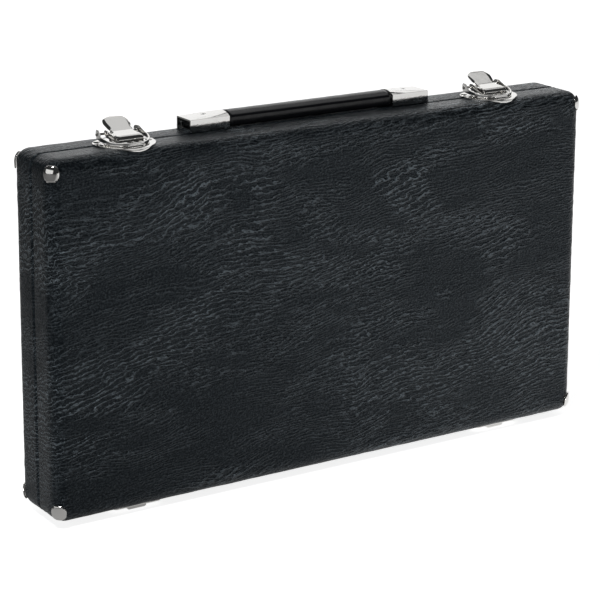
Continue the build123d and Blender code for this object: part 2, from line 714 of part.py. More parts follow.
def write_hinges():
    """Leaves, pins and rivets of the two hinges."""
    for word, s in SIDES:
        save(word + "_hinge_rear_leaf", hinge_leaf(s * HINGE_X, 1))
        save(word + "_hinge_lid_leaf", hinge_leaf(s * HINGE_X, -1))
    save("hinge_pins", hinge_pins())
    save("hinge_rear_rivets", group([rivet_up(x, y) for x, y in leaf_rivet_places(1)]))
    save("hinge_lid_rivets", group([rivet_up(x, y) for x, y in leaf_rivet_places(-1)]))


def write_latches():
    """Two draw latches, each a base, lever, hasp, catch, two pins and rivets."""
    base_rivets = []
    catch_rivets = []
    for word, s in SIDES:
        x = s * LATCH_X
        save(word + "_latch_base", latch_base(x))
        save(word + "_latch_catch", latch_catch(x))
        save(word + "_latch_lever", latch_lever(x))
        save(word + "_latch_hasp", latch_hasp(x))
        save(word + "_lever_pin", latch_pin(x, PIVOT_Y, PIVOT_H, FLANGE_OUT + 0.4))
        save(word + "_hasp_pin", latch_pin(x, HASP_Y, HASP_H, HASP_EAR_X + 1.4))
        for t in (-1, 1):
            base_rivets.append(rivet_down(x + t * BASE_RIVET[0], BASE_RIVET[1], TOP + PLATE_T))
            catch_rivets.append(rivet_down(x + t * CATCH_RIVET[0], CATCH_RIVET[1], TOP + PLATE_T))
    save("latch_base_rivets", group(base_rivets))
    save("latch_catch_rivets", group(catch_rivets))


def write_handle():
    """Strap handle: grip, strap ends, caps, brackets and fasteners."""
    screws = []
    for word, s in SIDES:
        save(word + "_handle_cap", handle_cap(s))
        save(word + "_handle_bracket", handle_bracket(s))
        save(word + "_strap_end", strap_end(s))
        screws += [rivet_down(s * x, HANDLE_Y, TOP + BRACKET_T) for x in BRACKET_SCREWS]
    save("handle_bracket_screws", group(screws))
    save("handle_cap_rivets", group([cap_rivet(s) for word, s in SIDES]))
    save("handle_cross_pins", group([cross_pin(s) for word, s in SIDES]))
    save("handle_grip", handle_grip())


os.makedirs(PARTS, exist_ok=True)
write_case()
write_hinges()
write_latches()
write_handle()
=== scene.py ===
"""Looks of a slim mouthpiece case: leatherette, nickel fittings, strap handle and flocked inside."""
import json
import math

import bmesh
import bpy
from mathutils import Matrix, Vector, noise


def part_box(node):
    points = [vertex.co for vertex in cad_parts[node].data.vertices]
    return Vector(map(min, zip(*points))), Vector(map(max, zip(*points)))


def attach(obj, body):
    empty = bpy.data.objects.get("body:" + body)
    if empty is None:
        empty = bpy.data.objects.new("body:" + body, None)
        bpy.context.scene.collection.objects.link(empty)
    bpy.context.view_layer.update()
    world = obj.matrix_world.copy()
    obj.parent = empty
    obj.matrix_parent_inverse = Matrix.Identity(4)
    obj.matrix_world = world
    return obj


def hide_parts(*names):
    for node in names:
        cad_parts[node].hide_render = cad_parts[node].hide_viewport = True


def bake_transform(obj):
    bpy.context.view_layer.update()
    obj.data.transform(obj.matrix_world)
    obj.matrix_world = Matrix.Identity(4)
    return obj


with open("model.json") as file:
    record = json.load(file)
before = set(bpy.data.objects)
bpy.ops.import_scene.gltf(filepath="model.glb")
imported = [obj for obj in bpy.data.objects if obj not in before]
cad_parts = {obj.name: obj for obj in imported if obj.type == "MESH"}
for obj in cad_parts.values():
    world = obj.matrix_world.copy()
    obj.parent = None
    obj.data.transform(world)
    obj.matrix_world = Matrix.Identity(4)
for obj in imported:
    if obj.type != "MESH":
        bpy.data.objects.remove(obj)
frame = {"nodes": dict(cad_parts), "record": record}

bl_info = {
    "name": "Mouthpiece Case",
    "version": (1, 0, 0),
    "blender": (4, 5, 0),
    "location": "View3D > Sidebar > Case",
    "description": "Builds the finished look of a mouthpiece case on its measured frame",
    "category": "Object",
}

MM = 0.001
X, Y, Z = range(3)
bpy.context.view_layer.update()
REAR_LOW, REAR_HIGH = (Vector(corner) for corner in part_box("rear_covering"))
LID_LOW, LID_HIGH = (Vector(corner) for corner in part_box("lid_covering"))
# Prefix, body, low corner, high corner, and whether the seam is at the highest y
HALVES = (("rear", "rear_half", REAR_LOW, REAR_HIGH, False), ("lid", "lid", LID_LOW, LID_HIGH, True))
# Fittings with rounder edges than the rest: end of the name, and how many times rounder
SOFTER_EDGES = {"handle_cap": 2.4, "latch_hasp": 1.8}
# How near to a plane a point counts as being in it
IN_PLANE = 1e-6


# Settings


class CaseSizes(bpy.types.PropertyGroup):
    """Sizes that shape the finished pieces."""
    corner_radius: bpy.props.FloatProperty(
        name="Corner Radius", description="Rounding of the case's outline",
        default=7.5 * MM, min=0.0, unit="LENGTH")
    edge_radius: bpy.props.FloatProperty(
        name="Edge Radius", description="Rounding where front and back meet the sides",
        default=7.0 * MM, min=0.0, unit="LENGTH")
    rim_radius: bpy.props.FloatProperty(
        name="Rim Radius", description="Rounding of each half beside the seam",
        default=2.0 * MM, min=0.0, unit="LENGTH")
    skin: bpy.props.FloatProperty(
        name="Leatherette Thickness", description="Thickness of the covering",
        default=0.5 * MM, min=0.0, unit="LENGTH")
    rim_width: bpy.props.FloatProperty(
        name="Rim Width", description="How far the covering turns in over the wall's edge",
        default=5.8 * MM, min=0.0, unit="LENGTH")
    mesh_step: bpy.props.FloatProperty(
        name="Mesh Step", description="Size of the covering's mesh cells",
        default=1.75 * MM, min=0.0005, unit="LENGTH")
    crush_depth: bpy.props.FloatProperty(
        name="Crush Depth", description="Depth of the covering's larger creases",
        default=0.30 * MM, min=0.0, unit="LENGTH")
    rim_clear: bpy.props.FloatProperty(
        name="Rim Clear", description="Distance from the seam within which the covering keeps its shape",
        default=3.0 * MM, min=0.0001, unit="LENGTH")
    swell: bpy.props.FloatProperty(
        name="Swell", description="How far the eased covering stands off its first surface",
        default=0.16 * MM, min=0.0, unit="LENGTH")
    cap_thickness: bpy.props.FloatProperty(
        name="Corner Cap Thickness", description="How far a corner cap stands over the covering",
        default=0.85 * MM, min=0.0, unit="LENGTH")
    cap_dome: bpy.props.FloatProperty(
        name="Corner Cap Dome", description="Extra swell in the middle of a corner cap",
        default=0.45 * MM, min=0.0, unit="LENGTH")
    cap_start: bpy.props.FloatProperty(
        name="Corner Cap Start", description="Where a corner cap begins, in from the top or bottom",
        default=3.4 * MM, min=0.0, unit="LENGTH")
    cap_reach: bpy.props.FloatVectorProperty(
        name="Corner Cap Reach",
        description="How far a corner cap goes onto the front, the side and down the edge",
        default=(6.6 * MM, 5.8 * MM, 12.4 * MM), size=3, min=0.0, unit="LENGTH", subtype="XYZ")
    metal_edge: bpy.props.FloatProperty(
        name="Metal Edge", description="Rounding of the pressed metal's edges",
        default=0.16 * MM, min=0.0, unit="LENGTH")
    nose_radius: bpy.props.FloatProperty(
        name="Nose Radius", description="Radius of the lever's rolled nose",
        default=2.3 * MM, min=0.0, unit="LENGTH")
    lever_sheet: bpy.props.FloatProperty(
        name="Lever Sheet", description="Thickness of the lever's pressed skin",
        default=0.8 * MM, min=0.0, unit="LENGTH")
    lever_rim: bpy.props.FloatProperty(
        name="Lever Rim", description="Rounding of the lever's rim",
        default=0.22 * MM, min=0.0, unit="LENGTH")
    pivot_height: bpy.props.FloatProperty(
        name="Pivot Height", description="Height of the lever's pin above the top of the case",
        default=3.2 * MM, min=0.0, unit="LENGTH")
    strap_half_width: bpy.props.FloatProperty(
        name="Strap Half Width", description="Half the width of the handle's strap",
        default=6.7 * MM, min=0.0, unit="LENGTH")
    strap_crown: bpy.props.FloatProperty(
        name="Strap Crown", description="How far the top of the strap arches up",
        default=2.3 * MM, min=0.0, unit="LENGTH")


class CaseColours(bpy.types.PropertyGroup):
    """Colours and finishes of the materials."""
    leather: bpy.props.FloatVectorProperty(
        name="Leatherette", description="Base colour of the covering",
        default=(0.0035, 0.0055, 0.0075), size=3, min=0.0, max=1.0, subtype="COLOR")
    # Painted highlight: this pale colour on the crests stands in for the light they catch; it also gives
    # the pebbles a faint fleck of tone
    leather_highlight_and_fleck: bpy.props.FloatVectorProperty(
        name="Leatherette Painted Highlight", description="Pale colour painted on the grain's crests as a highlight, and on the pebbles as a faint fleck",
        default=(0.170, 0.200, 0.220), size=3, min=0.0, max=1.0, subtype="COLOR")
    strap: bpy.props.FloatVectorProperty(
        name="Strap", description="Colour of the glossy strap",
        default=(0.007, 0.0075, 0.0095), size=3, min=0.0, max=1.0, subtype="COLOR")
    nickel: bpy.props.FloatVectorProperty(
        name="Nickel", description="Colour of the plated fittings",
        default=(0.80, 0.79, 0.77), size=3, min=0.0, max=1.0, subtype="COLOR")
    wood: bpy.props.FloatVectorProperty(
        name="Wood", description="Colour of the poplar boards",
        default=(0.52, 0.35, 0.20), size=3, min=0.0, max=1.0, subtype="COLOR")
    flock: bpy.props.FloatVectorProperty(
        name="Flock", description="Colour of the flocked foam",
        default=(0.013, 0.013, 0.015), size=3, min=0.0, max=1.0, subtype="COLOR")
    plush: bpy.props.FloatVectorProperty(
        name="Plush", description="Colour of the lid's plush",
        default=(0.028, 0.029, 0.034), size=3, min=0.0, max=1.0, subtype="COLOR")


# Mesh helpers


def lengthwise(edge, axis):
    """True if an edge runs along one axis of the case."""
    direction = (edge.verts[1].co - edge.verts[0].co).normalized()
    return abs(direction[axis]) > 0.999


def link_piece(name, bm, material, body):
    """Turns a finished bmesh into a smooth object that rides on a body, if one is given."""
    mesh = bpy.data.meshes.new(name)
    for face in bm.faces:
        face.smooth = True
    bm.to_mesh(mesh)
    bm.free()
    mesh.materials.append(material)
    piece = bpy.data.objects.new(name, mesh)
    bpy.context.scene.collection.objects.link(piece)
    if body:
        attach(piece, body)
    return piece


def split_at(bm, axis, place):
    """Cuts every face at one plane square to an axis."""
    normal = Vector((0.0, 0.0, 0.0))
    normal[axis] = 1.0
    point = normal * place
    geometry = bm.verts[:] + bm.edges[:] + bm.faces[:]
    bmesh.ops.bisect_plane(bm, geom=geometry, plane_co=point, plane_no=normal)


def subdivide_along(bm, axis, shortest, cell):
    """Divides the long edges along one axis into cells of about the same size."""
    edges = [e for e in bm.edges if lengthwise(e, axis) and e.calc_length() > shortest]
    if edges:
        cuts = max(1, round(edges[0].calc_length() / cell) - 1)
        bmesh.ops.subdivide_edges(bm, edges=edges, cuts=cuts, use_grid_fill=True)


def block(low, high):
    """A plain box between two corners."""
    bm = bmesh.new()
    bmesh.ops.create_cube(bm, size=1.0)
    place = Matrix.Translation((low + high) / 2) @ Matrix.Diagonal((high - low).to_4d())
    bmesh.ops.transform(bm, verts=bm.verts, matrix=place)
    return bm


def loop_at(bm, y):
    """The edges that lie in one plane square to Y."""
    return [e for e in bm.edges if all(abs(v.co.y - y) < IN_PLANE for v in e.verts)]


def faces_at(bm, axis, place):
    """The faces that lie in one plane square to an axis."""
    return [f for f in bm.faces if all(abs(v.co[axis] - place) < IN_PLANE for v in f.verts)]


def rounded_block(low, high, back_y, corner, edge, segments):
    """A block with a rounded outline and one rounded flat side at back_y."""
    bm = block(low, high)
    across = [e for e in bm.edges if lengthwise(e, Y)]
    bmesh.ops.bevel(bm, geom=across, offset=corner, segments=segments, profile=0.5,
                    affect="EDGES", material=-1)
    bmesh.ops.bevel(bm, geom=loop_at(bm, back_y), offset=edge, segments=segments, profile=0.5,
                    affect="EDGES", material=-1)
    return bm


def half_shell(low, high, seam_high, sizes):
    """Rounded tray of one half; seam_high says whether its seam is at its highest y."""
    centre = (low + high) / 2
    size = high - low
    seam_y = high.y if seam_high else low.y
    back_y = low.y if seam_high else high.y
    bm = rounded_block(low, high, back_y, sizes.corner_radius, sizes.edge_radius, segments=7)
    bmesh.ops.bevel(bm, geom=loop_at(bm, seam_y), offset=sizes.rim_radius, segments=4, profile=0.5,
                    affect="EDGES", material=-1)
    seam = faces_at(bm, Y, seam_y)
    bmesh.ops.inset_region(bm, faces=seam, thickness=sizes.rim_width - sizes.rim_radius)
    bmesh.ops.delete(bm, geom=seam, context="FACES")
    for sign in (-1, 1):
        split_at(bm, X, sign * (high.x - sizes.corner_radius))
        split_at(bm, Z, centre.z + sign * (size.z / 2 - sizes.corner_radius))
    subdivide_along(bm, X, size.x / 2, sizes.mesh_step)
    subdivide_along(bm, Z, size.z / 2, sizes.mesh_step)
    subdivide_along(bm, Y, size.y / 3, sizes.mesh_step)
    bmesh.ops.recalc_face_normals(bm, faces=bm.faces)
    return bm


def crush(bm, seam_y, sizes):
    """Presses lengthwise creases and slanting bands into the covering; its waves are in mm."""
    bm.normal_update()
    for vert in bm.verts:
        x, y, z = vert.co / MM
        sag = noise.noise(Vector((x / 70.0, y / 30.0, z / 45.0)))
        bands = noise.noise(Vector(((x - 1.6 * z) / 46.0, (x + z) / 130.0, y / 40.0)))
        warp = 2.0 * noise.noise(Vector((x / 15.0, y / 15.0, z / 15.0)))
        crease = abs(noise.noise(Vector((x / 17.0, y / 5.0, (z + warp) / 4.6))))
        fine = noise.noise(Vector((x / 8.0, y / 3.6, z / 3.6)))
        mask = 0.45 + 0.55 * max(0.0, min(1.0, 0.5 + 1.6 * bands))
        dent = 0.25 + 0.2 * sag + mask * (0.5 * (1.0 - 2.2 * crease) + 0.18 * fine)
        away = min(1.0, abs(vert.co.y - seam_y) / sizes.rim_clear)
        vert.co -= vert.normal * sizes.crush_depth * max(0.0, min(1.0, dent)) * away


def relax(bm, seam_y, sizes):
    """Eases the start and end of each rounding, as a covering over boards does."""
    free = [v for v in bm.verts if abs(v.co.y - seam_y) > sizes.rim_clear]
    for _ in range(3):
        bmesh.ops.smooth_vert(bm, verts=free, factor=0.5,
                              use_axis_x=True, use_axis_y=True, use_axis_z=True)
    bm.normal_update()
    for vert in free:
        beyond_rim = abs(vert.co.y - seam_y) / sizes.rim_clear - 1.0
        vert.co += vert.normal * sizes.swell * min(1.0, beyond_rim)


def merged_copy(node):
    """A bmesh of a CAD node's mesh, merged and freed of the edges inside its flat faces."""
    bm = bmesh.new()
    bm.from_mesh(frame["nodes"][node].data)
    bmesh.ops.remove_doubles(bm, verts=bm.verts, dist=0.004 * MM)
    bmesh.ops.dissolve_limit(bm, angle_limit=math.radians(1.5), verts=bm.verts, edges=bm.edges)
    bmesh.ops.recalc_face_normals(bm, faces=bm.faces)
    return bm


def soften(bm, width, segments, chosen=None):
    """Rounds the sharp edges, or the chosen ones, and leaves what is still sharp marked."""
    if chosen is None:
        sharp = math.radians(28)
        chosen = [e for e in bm.edges if len(e.link_faces) == 2 and e.calc_face_angle() > sharp]
    bmesh.ops.bevel(bm, geom=chosen, offset=width, segments=segments, profile=0.5, clamp_overlap=True,
                    affect="EDGES", material=-1)
    bmesh.ops.recalc_face_normals(bm, faces=bm.faces)
    for edge in bm.edges:
        edge.smooth = len(edge.link_faces) == 2 and edge.calc_face_angle() < math.radians(40)


def shade_evenly(piece):
    """Keeps large flat faces looking flat beside their rounded edges."""
    even = piece.modifiers.new("even_shading", "WEIGHTED_NORMAL")
    even.keep_sharp = True


def finished_copy(node, body, width, material):
    """Makes a piece with rounded edges that stands for a CAD node."""
    bm = merged_copy(node)
    soften(bm, width, segments=2)
    piece = link_piece(node + "_finished", bm, material, body)
    shade_evenly(piece)
    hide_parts(node)


def body_of(node):
    """Name of the body that a CAD node belongs to."""
    bodies = frame["record"]["behaviour"]["bodies"]
    return next(name for name, nodes in bodies.items() if node in nodes)


def smooth_step(value):
    """Eases from 0 to 1."""
    value = max(0.0, min(1.0, value))
    return value * value * (3.0 - 2.0 * value)


# Materials


def new_material(name):
    """An empty node material, its tree and its shader."""
    material = bpy.data.materials.new(name)
    material.use_nodes = True
    return material, material.node_tree, material.node_tree.nodes["Principled BSDF"]


def add_node(tree, kind, settings=(), **values):
    """One node with its settings and input values; spaces in input names are underscores."""
    node = tree.nodes.new(kind)
    for name, value in settings:
        setattr(node, name, value)
    for name, value in values.items():
        node.inputs[name.replace("_", " ")].default_value = value
    return node


def stretched(tree, scale=(1.0, 1.0, 1.0), turn=(0.0, 0.0, 0.0)):
    """Object coordinates, stretched and turned if asked."""
    source = tree.nodes.new("ShaderNodeTexCoord")
    mapping = add_node(tree, "ShaderNodeMapping", Scale=scale, Rotation=turn)
    tree.links.new(source.outputs["Object"], mapping.inputs["Vector"])
    return mapping.outputs["Vector"]


def noise_of(tree, vector, scale, detail=2.0, roughness=0.5, distortion=0.0):
    """Value of a noise texture."""
    node = add_node(tree, "ShaderNodeTexNoise", Scale=scale, Detail=detail, Roughness=roughness,
                    Distortion=distortion)
    tree.links.new(vector, node.inputs["Vector"])
    return node.outputs["Fac"]


def calculate(tree, kind, first, second):
    """A sum or product of two values, of which either can be a number."""
    node = tree.nodes.new("ShaderNodeMath")
    node.operation = kind
    for index, value in enumerate((first, second)):
        if isinstance(value, float):
            node.inputs[index].default_value = value
        else:
            tree.links.new(value, node.inputs[index])
    return node.outputs[0]


def weighted_sum(tree, first, first_share, second, second_share):
    """Two values, each times its share, added up."""
    return calculate(tree, "ADD", calculate(tree, "MULTIPLY", first, first_share),
                     calculate(tree, "MULTIPLY", second, second_share))


def spread(tree, value, low, high, to_low, to_high):
    """A value mapped from one range to another, held inside it."""
    node = tree.nodes.new("ShaderNodeMapRange")
    for index, number in ((1, low), (2, high), (3, to_low), (4, to_high)):
        node.inputs[index].default_value = number
    tree.links.new(value, node.inputs[0])
    return node.outputs[0]


def two_colours(tree, value, first, second, target):
    """Mixes two colours by a value into a colour input."""
    node = tree.nodes.new("ShaderNodeMix")
    node.data_type = "RGBA"
    node.inputs["A"].default_value = (*first, 1.0)
    node.inputs["B"].default_value = (*second, 1.0)
    tree.links.new(value, node.inputs["Factor"])
    tree.links.new(node.outputs["Result"], target)


def bumped(tree, shader, height, distance, strength):
    """Feeds a height into the shader's normal."""
    node = add_node(tree, "ShaderNodeBump", Strength=strength, Distance=distance)
    tree.links.new(height, node.inputs["Height"])
    tree.links.new(node.outputs["Normal"], shader.inputs["Normal"])


def wandering(tree, scale, reach, stretch, turn):
    """Object coordinates that drift by a slow noise before they are stretched and turned."""
    source = tree.nodes.new("ShaderNodeTexCoord")
    drift = add_node(tree, "ShaderNodeTexNoise", Scale=scale, Detail=1.0)
    tree.links.new(source.outputs["Object"], drift.inputs["Vector"])
    shift = tree.nodes.new("ShaderNodeVectorMath")
    shift.operation = "MULTIPLY_ADD"
    shift.inputs[1].default_value = (reach, reach, reach)
    tree.links.new(drift.outputs["Color"], shift.inputs[0])
    tree.links.new(source.outputs["Object"], shift.inputs[2])
    mapping = add_node(tree, "ShaderNodeMapping", Scale=stretch, Rotation=turn)
    tree.links.new(shift.outputs[0], mapping.inputs["Vector"])
    return mapping.outputs["Vector"]


def creases(tree, vector, spacing, sway):
    """Wavy lengthwise lines that run together and apart: 1 on their crests."""
    node = add_node(tree, "ShaderNodeTexWave", (("bands_direction", "Z"),), Scale=0.314 / spacing,
                    Distortion=sway, Detail=4.0, Detail_Scale=0.8, Detail_Roughness=0.70)
    tree.links.new(vector, node.inputs["Vector"])
    return node.outputs["Fac"]


def leatherette_material(colours):
    """Crushed leatherette: lengthwise wrinkles in slanting bands over a finely pebbled ground, with a
    pale painted highlight on the wrinkles' crests.
    """
    material, tree, shader = new_material("leatherette")
    bands = noise_of(tree, stretched(tree, scale=(0.45, 1.0, 1.0), turn=(0.0, 0.45, 0.0)),
                     scale=20.0, detail=3.5, roughness=0.6, distortion=0.8)
    patches = noise_of(tree, stretched(tree, scale=(0.30, 1.0, 1.0), turn=(0.0, 0.20, 0.0)),
                       scale=60.0, detail=3.0, roughness=0.6)
    large_field = wandering(tree, scale=11.0, reach=30.0 * MM,
                            stretch=(0.34, 1.0, 1.0), turn=(0.35, 0.45, 0.0))
    large = creases(tree, large_field, spacing=2.6 * MM, sway=16.0)
    small_field = wandering(tree, scale=16.0, reach=20.0 * MM,
                            stretch=(0.42, 1.0, 1.0), turn=(0.30, 0.20, 0.0))
    small = creases(tree, small_field, spacing=1.7 * MM, sway=11.0)
    large_share = spread(tree, bands, 0.46, 0.60, 0.04, 1.0)
    small_share = spread(tree, patches, 0.46, 0.62, 0.08, 0.8)
    crests = weighted_sum(tree, spread(tree, large, 0.45, 1.0, 0.0, 1.0), large_share,
                          spread(tree, small, 0.45, 1.0, 0.0, 0.7), small_share)
    # Painted highlight: the top of each crest is coloured pale, as a light catching the crests would
    # make it
    painted_crest_highlight = weighted_sum(tree, spread(tree, large, 0.88, 1.0, 0.0, 0.85), large_share,
                        spread(tree, small, 0.90, 1.0, 0.0, 0.45), small_share)
    pebble = noise_of(tree, stretched(tree, (0.8, 1.0, 1.0)), scale=950.0, detail=2.0, roughness=0.6)
    height = calculate(tree, "ADD", crests, calculate(tree, "MULTIPLY", pebble, 0.8))
    tree.links.new(spread(tree, height, 0.20, 1.10, 0.12, 0.80), shader.inputs["Specular IOR Level"])
    slow = noise_of(tree, stretched(tree, (0.3, 1.0, 1.0)), scale=34.0, detail=1.0)
    height = calculate(tree, "ADD", height, calculate(tree, "MULTIPLY", slow, 1.6))
    fleck = spread(tree, pebble, 0.48, 0.74, 0.0, 0.22)
    # Base colour: the crests' painted highlight, plus a slight random fleck of paler tone on the pebbles
    two_colours(tree, calculate(tree, "ADD", painted_crest_highlight, fleck), colours.leather, colours.leather_highlight_and_fleck,
                shader.inputs["Base Color"])
    tree.links.new(spread(tree, bands, 0.35, 0.65, 0.31, 0.23), shader.inputs["Roughness"])
    shader.inputs["Specular Tint"].default_value = (0.74, 0.88, 1.0, 1.0)
    bumped(tree, shader, height, distance=0.80 * MM, strength=1.0)
    return material


def strap_material(colours):
    """Glossy smooth vinyl with a faint grain."""
    material, tree, shader = new_material("strap_vinyl")
    shader.inputs["Base Color"].default_value = (*colours.strap, 1.0)
    grain = noise_of(tree, stretched(tree, (0.4, 1.0, 1.0)), scale=420.0, detail=3.0, roughness=0.6)
    tree.links.new(spread(tree, grain, 0.3, 0.7, 0.17, 0.27), shader.inputs["Roughness"])
    bumped(tree, shader, grain, distance=0.06 * MM, strength=0.5)
    return material


def nickel_material(colours):
    """Bright nickel plate with faint handling marks."""
    material, tree, shader = new_material("nickel_plate")
    shader.inputs["Base Color"].default_value = (*colours.nickel, 1.0)
    shader.inputs["Metallic"].default_value = 1.0
    haze = noise_of(tree, stretched(tree), scale=160.0, detail=4.0, roughness=0.65)
    tree.links.new(spread(tree, haze, 0.35, 0.7, 0.06, 0.13), shader.inputs["Roughness"])
    ripple = noise_of(tree, stretched(tree), scale=240.0, detail=1.0)
    bumped(tree, shader, ripple, distance=0.06 * MM, strength=0.4)
    return material


def shared_nickel(context):
    """The nickel plate that all metal pieces share, made at its first use."""
    return bpy.data.materials.get("nickel_plate") or nickel_material(context.scene.case_colours)


def wood_material(colours):
    """Bare poplar plywood with lengthwise grain."""
    material, tree, shader = new_material("poplar_board")
    grain = noise_of(tree, stretched(tree, (0.05, 1.0, 1.0)),
                     scale=260.0, detail=4.0, roughness=0.6, distortion=0.4)
    dark = [part * 0.62 for part in colours.wood]
    streaks = spread(tree, grain, 0.35, 0.65, 0.0, 1.0)
    two_colours(tree, streaks, dark, colours.wood, shader.inputs["Base Color"])
    shader.inputs["Roughness"].default_value = 0.62
    bumped(tree, shader, grain, distance=0.2 * MM, strength=0.4)
    return material


def pile_material(name, colour, scale, sheen):
    """Short soft pile: a sheen over a finely mottled ground."""
    material, tree, shader = new_material(name)
    pile = noise_of(tree, stretched(tree), scale, detail=3.0, roughness=0.7)
    brushed = noise_of(tree, stretched(tree), scale=34.0, detail=2.0, roughness=0.5, distortion=0.8)
    light = [part * 1.9 for part in colour]
    mix = calculate(tree, "MULTIPLY", pile, spread(tree, brushed, 0.3, 0.7, 0.5, 1.4))
    two_colours(tree, mix, colour, light, shader.inputs["Base Color"])
    shader.inputs["Roughness"].default_value = 0.95
    shader.inputs["Sheen Weight"].default_value = sheen
    shader.inputs["Sheen Roughness"].default_value = 0.45
    bumped(tree, shader, pile, distance=0.4 * MM, strength=0.6)
    return material


# Operators


class CASE_OT_covering(bpy.types.Operator):
    """Make the leatherette covering of both halves"""
    bl_idname = "case.covering"
    bl_label = "Covering"

    def execute(self, context):
        sizes = context.scene.case_sizes
        material = leatherette_material(context.scene.case_colours)
        for prefix, body, low, high, seam_high in HALVES:
            bm = half_shell(low, high, seam_high, sizes)
            seam_y = high.y if seam_high else low.y
            relax(bm, seam_y, sizes)
            crush(bm, seam_y, sizes)
            piece = link_piece(prefix + "_leatherette", bm, material, body)
            solid = piece.modifiers.new("thickness", "SOLIDIFY")
            solid.thickness = sizes.skin
            solid.offset = -1.0
            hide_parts(prefix + "_covering")
        return {"FINISHED"}


class CASE_OT_corners(bpy.types.Operator):
    """Make the domed corner caps of both halves"""
    bl_idname = "case.corners"
    bl_label = "Corner Caps"

    def execute(self, context):
        sizes = context.scene.case_sizes
        material = shared_nickel(context)
        for prefix, body, low, high, seam_high in HALVES:
            bm = self.caps(low, high, seam_high, sizes)
            piece = link_piece(prefix + "_domed_caps", bm, material, body)
            solid = piece.modifiers.new("thickness", "SOLIDIFY")
            solid.thickness = sizes.cap_thickness * 0.8
            solid.offset = -1.0
            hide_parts(prefix + "_corner_caps")
        return {"FINISHED"}

    def caps(self, low, high, seam_high, sizes):
        """Rounded block one sheet larger, cut down to an oval over each outer corner and domed."""
        grow = Vector((1.0, 1.0, 1.0)) * sizes.cap_thickness
        low, high = low - grow, high + grow
        back_y = low.y if seam_high else high.y
        bm = rounded_block(low, high, back_y, sizes.corner_radius + grow.x,
                           sizes.edge_radius + grow.x, segments=18)
        middle = (low + high) / 2
        reach = sizes.cap_reach
        split_at(bm, Y, back_y + (reach.y if seam_high else -reach.y))
        for sign in (-1, 1):
            split_at(bm, X, sign * (high.x - reach.x))
            split_at(bm, Z, middle.z + sign * ((high.z - middle.z) - reach.z))
        outline = (high, middle, back_y, reach, sizes.cap_start)
        self.keep_ovals(bm, outline, limit=1.35)
        long_edges = [e for e in bm.edges if e.calc_length() > 0.5 * MM]
        bmesh.ops.subdivide_edges(bm, edges=long_edges, cuts=3, use_grid_fill=True)
        self.keep_ovals(bm, outline, limit=1.0)
        bmesh.ops.recalc_face_normals(bm, faces=bm.faces)
        bm.normal_update()
        for vert in bm.verts:
            inside = 1.0 - self.oval(vert.co, outline)
            vert.co += vert.normal * sizes.cap_dome * math.sqrt(max(0.0, min(1.0, inside)))
        return bm

    def oval(self, place, outline):
        """How far out a point is in a cap's outline: 0 in its middle and 1 on its rim."""
        high, middle, back_y, reach, start = outline
        from_end = (high.x - abs(place.x)) / reach.x
        from_back = abs(place.y - back_y) / reach.y
        from_edge = (high.z - middle.z) - abs(place.z - middle.z)
        along = 2.0 * (from_edge - start) / (reach.z - start) - 1.0
        return abs(from_end - from_back) ** 2.4 + abs(along) ** 2.4

    def keep_ovals(self, bm, outline, limit):
        """Deletes the faces outside the caps' outlines."""
        high, _, back_y, reach, _ = outline
        unwanted = []
        for face in bm.faces:
            place = face.calc_center_median()
            beyond = high.x - abs(place.x) > reach.x or abs(place.y - back_y) > reach.y
            if beyond or self.oval(place, outline) > limit:
                unwanted.append(face)
        bmesh.ops.delete(bm, geom=unwanted, context="FACES")


class CASE_OT_fittings(bpy.types.Operator):
    """Round the edges of the metal fittings and give them their nickel plate"""
    bl_idname = "case.fittings"
    bl_label = "Metal Fittings"

    def execute(self, context):
        sizes = context.scene.case_sizes
        material = shared_nickel(context)
        for entry in frame["record"]["subparts"]:
            node = entry["node"]
            slot = entry["material_slot"]
            if slot not in ("nickel", "fasteners") or node.endswith(("corner_caps", "latch_lever")):
                continue
            softer = next((times for end, times in SOFTER_EDGES.items() if node.endswith(end)), 1.0)
            finished_copy(node, body_of(node), sizes.metal_edge * softer, material)
        return {"FINISHED"}


